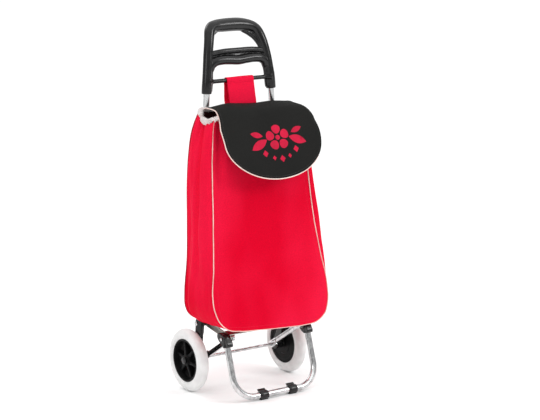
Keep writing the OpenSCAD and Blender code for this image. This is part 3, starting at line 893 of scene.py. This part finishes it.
def bag_lines():
    """The bag's back seam, its fullest line and its front seam, from the left end of the mouth
    round the bottom to the right end, in metres."""
    rows = np.array(BAG_ROWS, float)
    keys = lengths(rows[:, 4:6])
    fine = smooth(rows, keys, np.linspace(0, keys[-1], HALF_STEPS * 8))
    along = lengths(fine[:, 4:6])
    wanted = np.linspace(0, along[-1], HALF_STEPS)
    half = between(fine, along, wanted)
    lines = []
    for first, hang in ((0, 0.02), (2, 0.06), (4, 0.07)):
        x, z = half[:, first], half[:, first + 1]
        x = np.concatenate([-x, x[-2::-1]])
        z = np.concatenate([z, z[-2::-1]])
        if first == 0:
            y = np.full_like(z, BACK_Y)
        elif first == 2:
            y = front_y(z) + 15 + 3 * step(z, 600, 703)
        else:
            y = front_y(z) + 4 * step(z, 610, 690)
        shift = np.array(SEAM_SHIFT, float)
        left, right, full_right = [np.interp(z, shift[:, 0], shift[:, k]) for k in (1, 2, 3)]
        on_left, on_right = {0: (0, 0), 2: (left * 0.4, full_right), 4: (left, right)}[first]
        x = x + np.sign(x) * np.where(x < 0, on_left, on_right) * step(np.abs(x), 60, 140)
        z = z - hang * x * (1 - step(z, 190, 320))
        lines.append(np.stack([x, y, z], axis=1) * MM)
    return lines


def coons(left, right, top, bottom):
    """A patch between four edge lines that meet at its corners, as rows from top to bottom."""
    v = np.linspace(0, 1, len(left))[:, None, None]
    u = np.linspace(0, 1, len(top))[None, :, None]
    ruled = (1 - v) * top[None] + v * bottom[None] + (1 - u) * left[:, None] + u * right[:, None]
    corner = ((1 - u) * (1 - v) * top[0] + u * (1 - v) * top[-1]
              + (1 - u) * v * bottom[0] + u * v * bottom[-1])
    return ruled - corner


def panel_grid(seam):
    """A flat patch inside a seam that runs down the left, along the bottom and up the right."""
    half = len(seam) // 2
    slope = np.abs(np.gradient(seam, axis=0))
    corner = int(np.argmax(slope[:half, 0] > slope[:half, 2]))
    across = len(seam) - 2 * corner
    left, right = seam[: corner + 1], seam[::-1][: corner + 1]
    bottom = seam[corner: corner + across]
    top = np.linspace(seam[0], seam[-1], across)
    return coons(left, right, top, bottom)


def panel(name, seam, centre, replaced, shape):
    """A panel of the bag inside its seam. shape gives how far back it lies at each point, from the
    shares across (-1 to 1) and down (0 to 1) and from the point without its depth."""
    grid = panel_grid(seam)
    rows, columns = grid.shape[:2]
    v = np.linspace(0, 1, rows)[:, None]
    u = np.linspace(-1, 1, columns)[None, :]
    grid[:, :, 1] += shape(u, v, grid * (1, 0, 1)) * MM
    piece = facing(grid_piece(name, grid, red_cloth), centre)
    thicken(piece, 1.1 * MM, shaded_inside_cloth)
    ride_bag(piece, "red_fabric", replaced)
    return grid


def make_bag():
    back, full, front = bag_lines()
    centre = (0, -0.035, 0.45)
    make_gusset(back, full, front, centre)
    grid = panel("bag_front_panel", front, centre, "bag_front", front_depth)
    stitch_rows(grid)
    panel("bag_back_panel", back, centre, "bag_back", back_depth)
    make_piping(front)
    make_binding(back)
    make_collar()
    make_board()


def ride_bag(piece, slot, *replaced):
    """A bag piece rides on the frame, with a mesh of its own."""
    settle(piece, "frame", slot, *replaced)
    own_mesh(piece)


def make_gusset(back, full, front, centre):
    """The strip that makes the bag's sides and bottom, full behind the front seam, softly folded."""
    outline = np.gradient(full, axis=0)
    out = unit(np.stack([-outline[:, 2], 0 * outline[:, 0], outline[:, 0]], axis=1))
    out *= np.sign((out * (full - centre)).sum(1).mean())
    height = full[:, 2]
    near_mouth = step(height, 0.62, 0.705)[:, None]
    middle = (back + full) / 2 + out * 1.5 * MM
    middle[:, 2] -= (9 * MM * near_mouth[:, 0])
    share = 0.55 - 0.15 * near_mouth
    corner = share * full + (1 - share) * front
    corner[:, 1] = front[:, 1] + (3.0 - 11.0 * step(height, 0.60, 0.68)) * MM
    start = back * 0.92 + middle * 0.08 + out * 1.0 * MM
    keys = np.array([0, 0.06, 0.45, 0.82, 0.94, 1.0])
    at = np.linspace(0, 1, GUSSET_STEPS)
    rows = smooth(np.array([back, start, middle, full, corner, front]), keys, at)
    grid = rows.transpose(1, 0, 2)
    t = at[None, :]
    z = grid[:, :, 2]
    side_wall = step(z, 0.20, 0.27)
    place = np.stack([t + 0 * z, z, np.sign(grid[:, :, 0]) * 0.7 + 0 * z], axis=2)
    place[:, :, 0] += 0.12 * np.sin(z * 9)
    folds = ripple(place, (3.4, 4.2, 1.0), 3.1) + 0.45 * ripple(place, (8, 9.5, 1.0), 8.4)
    gathers = ripple(place, (13, 6.0, 1.0), 5.7)
    crease_at = 0.58 + 0.06 * np.sin(z * 13) + 0.02 * np.sin(z * 41)
    crease = hump(t, crease_at, 0.085) * step(z, 0.26, 0.42)
    lift = folds * (FOLD_DEPTH + FOLD_DEPTH * side_wall) + gathers * GATHER_DEPTH * near_mouth
    lift = lift - CREASE_DEPTH * crease
    low_corner = step(z, 0.19, 0.215) - step(z, 0.27, 0.34)
    pucker = PUCKER_DEPTH * hump(t, 0.13, 0.055) * low_corner
    hem = np.sin(np.pi * np.clip(t, 0, 1)) ** 0.6
    lift = (lift * hem - pucker) * MM
    bottom = 1 - step(z, 0.176, 0.20)
    lift = np.where(bottom > 0.5, lift * 0.35, lift)
    grid = grid + out[:, None] * lift[:, :, None]
    gusset = facing(grid_piece("bag_gusset", grid, red_cloth), centre)
    thicken(gusset, 1.1 * MM, shaded_inside_cloth)
    ride_bag(gusset, "red_fabric", "bag_left", "bag_right", "bag_bottom")


def front_depth(u, v, place):
    """How far back the front panel lies, in millimetres: it is sunk at its piped edge, then full and
    nearly flat, with a few soft creases."""
    full = (1 - np.abs(u) ** 11) * (1 - np.clip(2 * v - 1, 0, 1) ** 12)
    belly = (1 - u**2) * hump(v, 0.72, 0.3)
    soft = ripple(place, (9, 1, 4.5), 2.2) + 0.45 * ripple(place, (22, 1, 12), 6.3)
    x, z = place[:, :, 0], place[:, :, 2]
    drag = ripple(np.stack([x + z * 0.5, 0 * x, z], 2), (30, 1, 6), 1.4)
    corners = step(v, 0.72, 0.98) * np.abs(u) ** 1.5
    top = 1 - step(v, 0.05, 0.3)
    groove = hump(u, -0.84, 0.09) * (1 - step(v, 0.18, 0.55))
    creases = (4.6 * soft + 4.0 * drag * corners) * np.minimum(1, full * 1.4)
    return -(-GROOVE_DEPTH * groove + (4.0 + 2 * top) * full + 3.4 * belly + creases)


def stitch_rows(grid):
    """A row of stitches round the front panel, just inside its piping."""
    inset = 3
    bottom = grid[-inset - 1, inset:-inset]
    line = np.concatenate([grid[2:-inset, inset], bottom, grid[-inset - 2:1:-1, -inset - 1]])
    line = even(line, 900)
    way = np.broadcast_to([0.0, -1.0, 0.0], line.shape)
    stitches = stitch("bag_front_stitching", red_thread, [line], [way], 3.2 * MM, 0.55 * MM, 0.35 * MM)
    ride_bag(stitches, "red_fabric")


def back_depth(u, v, place):
    """How far back the back panel lies, in millimetres: slack between the uprights."""
    soft = ripple(place, (10, 1, 4), 12.2) + 0.5 * ripple(place, (24, 1, 10), 16.3)
    inside = (1 - u**6) * (1 - v**8)
    return -2.2 * inside * (1 - np.abs(u)) + 1.6 * soft * inside


def make_piping(front):
    """The pale cord sewn into the front seam."""
    line = front + np.array([0, -0.6, 0]) * MM
    line = even(line, 420)
    piping = tube("bag_piping_cord", line, 1.3 * MM, piping_cloth, 12)
    ride_bag(piping, "piping", "bag_piping")


def make_binding(back):
    """The tape that binds the back seam and stands out behind it. Its dark red is painted shade along
    the bag's back outline.
    """
    line = even(back + np.array([0, 1.0, 0]) * MM, 360)
    binding = tube("bag_back_binding", line, 2.6 * MM, shaded_binding_cloth, 12, flat=0.55)
    ride_bag(binding, "red_fabric", "back_binding")


def make_collar():
    """The gathered pale hem round the mouth, rolled over a drawstring channel."""
    back = {"left": [[60, 18, 714], [108, 19, 716], [124, 18, 717.5], [130, 11, 712.5]],
            "right": [[60, 18, 713], [100, 18.5, 710.5], [119, 18, 711.5], [129, 11, 710]]}
    rest = [[133, 3, 706], [135, -6, 700], [138, -17, 696.5], [138.5, -27, 694.5], [136.5, -35, 695],
            [131, -42, 699], [122, -45.5, 703], [106, -46, 706], [50, -46, 709]]
    left = [[-x, y, z] for x, y, z in [[0, 18, 714]] + back["left"] + rest]
    right = (back["right"] + rest)[::-1]
    count, sides = 720, 18
    path = even(mm(left + [[0, -46, 709]] + right), count, closed=True)
    angle = np.linspace(0, math.tau, count, endpoint=False)
    places = np.stack([np.cos(angle), np.sin(angle), 0 * angle], axis=1)
    gather = ripple(places, 9, 4.4) + 0.6 * ripple(places, 22, 7.7)
    waist = hump(path[:, 1] / MM, -2, 5) * step(np.abs(path[:, 0]), 0.12, 0.13)
    lumps = step(np.abs(path[:, 0]), 0.118, 0.134)
    body = 5.2 + 1.0 * gather + 1.5 * lumps - 3.4 * waist
    grid = rings(path, body * MM, sides, 1.05, closed=True, start=(0, 0, 1))
    around = np.linspace(0, math.tau, sides, endpoint=False)[None, :]
    turned, pleats = angle[:, None], 118
    pleat = np.sin(turned * pleats + 2.5 * np.sin(around + turned * 7) + 5 * gather[:, None])
    out = unit(grid - path[:, None])
    grid = grid + out * ((0.9 + 0.7 * lumps[:, None]) * MM * pleat)[:, :, None]
    collar = grid_piece("bag_mouth_collar", grid, collar_cloth, wrap_rows=True, wrap_columns=True)
    outwards(collar)
    settle(collar, "frame", "lining", "mouth_collar")


def make_board():
    """The stiff board that lies in the bag's bottom."""
    outline = rounded(mm([[-93, 184], [17, 195], [17, 198], [-93, 187]]), 1.2 * MM, 3)
    board = bake(plate("bag_base_board", outline, -120 * MM, 120 * MM, board_black, 0.4 * MM))
    ride_bag(board, "board", "base_board")


# ---------------- loop and straps

def ribbon(path, width, rows, columns):
    """A flat woven strap along a (y, z) path, width across X, with slightly wavy edges."""
    line = even(np.insert(mm(path), 0, 0, axis=1), rows)
    x = np.linspace(-0.5, 0.5, columns) * width
    grid = np.repeat(line[:, None], columns, axis=1)
    grid[:, :, 0] = x[None, :]
    tangent = np.gradient(line, axis=0)
    out = unit(np.stack([0 * tangent[:, 0], -tangent[:, 2], tangent[:, 1]], axis=1))
    bend = ripple(grid, (25, 18, 18), 4.2) * 0.8 * MM
    return grid + out[:, None] * bend[:, :, None]


def make_loop():
    """The wide loop of bag cloth that hangs the bag on the handle's crossbar. Its front leg is a
    piece of its own."""
    front_leg = [[20.5, 700], [18.2, 710], [16.6, 722], [20.6, 742], [25.2, 764], [27.3, 776]]
    arc = circle((UPRIGHT_Y, CROSSBAR_Z), 7.4, 170, 10, 9)
    back_leg = [[42.4, 766], [42.4, 748], [41.5, 730], [35.5, 715], [27.8, 703], [25.6, 690]]
    grid = ribbon(front_leg + arc + back_leg, 79 * MM, 150, 31)
    joint = int(np.argmax(grid[:, 0, 2] > 774.5 * MM))
    # The loop uses the lighter copy of the bag's red: painted light
    front = grid_piece("bag_loop_front_leg", grid[: joint + 1], lit_loop_cloth)
    loop = grid_piece("bag_hanging_loop", grid[joint:], lit_loop_cloth)
    for piece, length in ((front, 0.082), (loop, 0.132)):
        thicken(piece, 1.3 * MM, offset=0)
        settle(piece, "frame", "red_fabric", "hanging_loop")
    rows = {"front": (grid[4:joint - 2], -1.0), "back": (grid[joint + 24:-6], 1.0)}
    for word, (part, way) in rows.items():
        lines = [part[:, k] for k in (2, -3)]
        ways = [np.broadcast_to([0, way, 0], line.shape) for line in lines]
        name = f"loop_{word}_stitching"
        stitches = stitch(name, red_thread, lines, ways, 3.0 * MM, 0.6 * MM, 0.95 * MM)
        settle(stitches, "frame", "red_fabric")
        if word == "front":
            press_back(stitches)
    press_back(front)


def press_back(piece):
    """Gives the loop's front leg a mesh of its own."""
    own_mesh(piece)


def make_tie(word, side):
    """A short strap round an upright, sewn to the bag's back, that keeps the bag in place."""
    bottom, top, bend = 331, 357, 9.6
    x = side * upright_x((bottom + top) / 2)
    arc = circle((x, UPRIGHT_Y), bend, -52, 232, 30)
    line = [[x + 16, 25.2], [x + 9.5, 26.0]] + arc + [[x - 9.5, 26.0], [x - 16, 25.2]]
    path = even([[px * MM, py * MM, 0] for px, py in line], 70)
    rows = np.linspace(bottom, top, 12) * MM
    grid = np.repeat(path[:, None], len(rows), axis=1)
    grid[:, :, 2] = rows[None]
    grid[:, :, 2] += 0.5 * MM * ripple(grid, 30, 3.0)
    strap = grid_piece(f"bag_tie_strap_{word}", grid, red_cloth)
    thicken(strap, 1.2 * MM, offset=0)
    ride_bag(strap, "red_fabric", f"tie_strap_{word}")


# ---------------- flap

FLAP_TOP = 0.0945
FLAP_FRONT = 0.169
FLAP_STRAIGHT = 0.072
FLAP_HALF = 0.143
# Middle line of the flap in (y, z) millimetres, from its back edge over the mouth and down the front
FLAP_LINE = [[20, 721], [7, 726.3], [-10, 728], [-28, 727.2], [-46, 724.5], [-60, 719.3], [-69, 711],
             [-77, 692], [-91, 656.5], [-112, 601.5], [-131.3, 551.5]]
# Rise of the flap's top above its middle line at distances across it, in millimetres
FLAP_RISE = [[-140, -9], [-122, -5], [-92, -0.5], [-60, 3], [-38, 1.5], [-10, 0], [25, -1.5], [60, -2],
             [90, -4], [118, -8], [138, -12.5], [160, -30]]


def flap_points(u, v):
    """Points of the flap's cloth, u across from its middle line and v along from its back edge."""
    u, v = np.broadcast_arrays(np.asarray(u, float), np.asarray(v, float))
    line = mm(FLAP_LINE)
    middle = smooth(line, lengths(line), np.clip(v, 0, None))
    down = np.clip(v - FLAP_TOP, 0, None)
    over = step(v, 0.04, FLAP_TOP + 0.02)
    x = 0.006 + 0.0105 * step(v, 0.0, FLAP_TOP) + 0.037 * down + u
    y = middle[..., 0] + 0.008 * (np.abs(u) / FLAP_HALF) ** 4 * over
    y = y + 0.003 * (np.clip(np.abs(u) - 0.122, 0, None) / 0.021) ** 2 * over
    rise = mm(FLAP_RISE)
    arch = smooth(rise[:, 1], rise[:, 0], np.clip(x, -0.139, 0.159))
    fade = (0.45 + 0.55 * step(v, 0.0, 0.035)) * (1 - step(v, FLAP_TOP - 0.01, FLAP_TOP + 0.075))
    z = middle[..., 1] + 0.040 * u * over + arch * fade
    curl = np.clip((-u - 0.075) / 0.060, 0, 1) ** 2 * step(v, 0.055, 0.09) * (1 - step(v, 0.11, 0.19))
    y = y + 0.002 * curl
    z = z - 0.011 * curl
    points = np.stack([x, y, z], axis=-1)
    folds = ripple(points, (16, 10, 9), 9.1) * (1.0 + 1.0 * (1 - over))
    points[..., 1] -= folds * MM * over
    points[..., 2] += folds * MM * (1 - over)
    return points


def flap_normals(u, v):
    """Outward normals of the flap's cloth."""
    e = 0.5 * MM
    across = flap_points(u + e, v) - flap_points(u - e, v)
    n = -unit(np.cross(across, flap_points(u, v + e) - flap_points(u, v - e)))
    return np.where(n[..., 2:3] - n[..., 1:2] < 0, -n, n)


def flap_end(a, inset=0.0):
    """How far the flap reaches from its back edge at a share a across: its end is a half ellipse."""
    round_part = FLAP_FRONT - FLAP_STRAIGHT - inset
    return FLAP_TOP + FLAP_STRAIGHT + round_part * np.sqrt(np.clip(1 - a**2, 0, 1))


def flap_cut(a, r):
    """Flat (u, v) of the flap's cut at a share a across, from -1 to 1, and a share r along."""
    v = r * flap_end(a)
    narrow = 1 - step(v, 0.0, FLAP_TOP + 0.02)
    half = FLAP_HALF - 0.0155 * narrow
    short = 0.001 + 0.0045 * (narrow + step(v, 0.02, 0.09)) - 0.003 * step(v, 0.12, 0.2)
    return a * (half - short / 2) + short / 2, v


def settle_flap(piece, slot, *replaced):
    """A flap piece takes its placing into its mesh and stands in for CAD nodes."""
    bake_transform(piece)
    if replaced:
        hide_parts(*replaced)


def make_flap():
    """One sheet of dark cloth over the mouth and down the front, with piping round its cut edge."""
    columns, rows = 71, 96
    a = np.sin(np.linspace(-math.pi / 2, math.pi / 2, columns))[None, :]
    r = np.linspace(0, 1, rows)[:, None]
    u, v = flap_cut(a, r)
    grid = flap_points(u, v)
    flap = facing(grid_piece("flap_cloth", grid, charcoal_cloth), (0, 0, 0.6))
    thicken(flap, 2.0 * MM, dark_inside)
    settle_flap(flap, "charcoal_fabric", "flap_top", "flap_front")
    edge_u = np.concatenate([u[2:, 0], u[-1, 1:-1], u[:1:-1, -1]])
    edge_v = np.concatenate([v[2:, 0], v[-1, 1:-1], v[:1:-1, -1]])
    normals = flap_normals(edge_u, edge_v)
    edge = flap_points(edge_u, edge_v)
    outside = np.cross(unit(np.gradient(edge, axis=0)), normals)
    outside *= np.sign((outside * (edge - flap_points(edge_u * 0.9, edge_v * 0.97))).sum(1))[:, None]
    hidden = (step(edge_u, 0.04, 0.09) * (1 - step(edge_v, 0.195, 0.24)))[:, None]
    edge = edge + outside * (0.7 - 3.2 * hidden) * MM - normals * (0.9 + 1.9 * hidden) * MM
    piping = tube("flap_piping_cord", even(edge, 420), 1.4 * MM, pale_piping, 12)
    settle_flap(piping, "piping", "flap_top_piping", "flap_front_piping")
    make_flap_stitches()


def make_flap_stitches():
    """Top stitching round the flap, a little inside its piping."""
    inset = 5.5 * MM
    share = 1 - inset / FLAP_HALF
    a = np.sin(np.linspace(-math.pi / 2, math.pi / 2, 160)) * share
    end_u = flap_cut(a, 1.0)[0]
    end_v = flap_end(a / share, inset)
    straight = FLAP_TOP + FLAP_STRAIGHT
    side_v = np.linspace(0.01, straight, 120)
    left_u, right_u = [flap_cut(k, side_v / straight)[0] - k * inset for k in (-1.0, 1.0)]
    line_u = np.concatenate([left_u, end_u[1:-1], right_u[::-1]])
    line_v = np.concatenate([side_v, end_v[1:-1], side_v[::-1]])
    normals = flap_normals(line_u, line_v)
    line = flap_points(line_u, line_v)
    stitches = stitch("flap_stitching", dark_thread, [line], [normals], 3.0 * MM, 0.5 * MM, 0.3 * MM)
    settle_flap(stitches, "charcoal_fabric")


def print_patch(outline, layers=5):
    """A filled 2-D outline as rings towards its centre, as points and faces."""
    outline = np.asarray(outline, float)
    centre, n = outline.mean(0), len(outline)
    points = [centre + (outline - centre) * k / layers for k in range(layers, 0, -1)]
    points = np.concatenate(points + [centre[None]])
    after = [(j + 1) % n for j in range(n)]
    faces = [(k * n + j, k * n + after[j], (k + 1) * n + after[j], (k + 1) * n + j)
             for k in range(layers - 1) for j in range(n)]
    last = (layers - 1) * n
    faces += [(last + j, last + after[j], layers * n) for j in range(n)]
    return points, faces


def print_outlines():
    """A plain flower between two leaves over a row of diamonds, in millimetres on the flat cloth."""
    outlines = []
    flower, petals = np.array([0, 60]), 5
    for k in range(petals):
        a = math.tau * k / petals - math.pi / 2
        way, across = np.array([math.cos(a), math.sin(a)]), np.array([-math.sin(a), math.cos(a)])
        t = np.linspace(0, math.tau, 48, endpoint=False)[:, None]
        wide = 9.8 * np.sin(t) * (1 + 0.18 * np.cos(t))
        outlines.append(flower + way * (17.5 + 9.5 * np.cos(t)) + across * wide)
    outlines.append(circle(flower, 5.2, 0, 350, 36))
    t = np.linspace(-1, 1, 26)
    upper = np.stack([t, 0.42 * (1 - t**2)], 1)
    leaf = np.concatenate([upper, upper[-2:0:-1] * (1, -1)])
    for side in SIDES.values():
        for bend, size, at in ((24, 21, (45, 70)), (-18, 14, (47, 49))):
            outlines.append((leaf * size @ turn(bend) + at) * (side, 1))
    for k in range(-3, 4):
        corner = np.array([[0, -1], [0.85, 0], [0, 1], [-0.85, 0]]) * (7.5 if k % 2 == 0 else 5.0)
        edges = [np.linspace(corner[j], corner[j - 3], 6, endpoint=False) for j in range(4)]
        outlines.append(np.concatenate(edges) + [18 * k, 105 - 0.012 * (18 * k) ** 2])
    return outlines


def make_print():
    """The printed motif, just above the flap's cloth."""
    points, faces = [], []
    for flat, patch in map(print_patch, print_outlines()):
        u, v = (flat[:, 0] * 1.26 + 7) * MM, FLAP_TOP + (flat[:, 1] * 1.2 - 5) * MM
        first = len(points)
        points += list(flap_points(u, v) + flap_normals(u, v) * 0.35 * MM)
        faces += [tuple(first + k for k in face) for face in patch]
    settle_flap(mesh_piece("flap_motif", points, faces, ink), "print_red", "flap_print")


make_bag()
make_loop()
for word, side in SIDES.items():
    make_tie(word, side)
make_flap()
make_print()
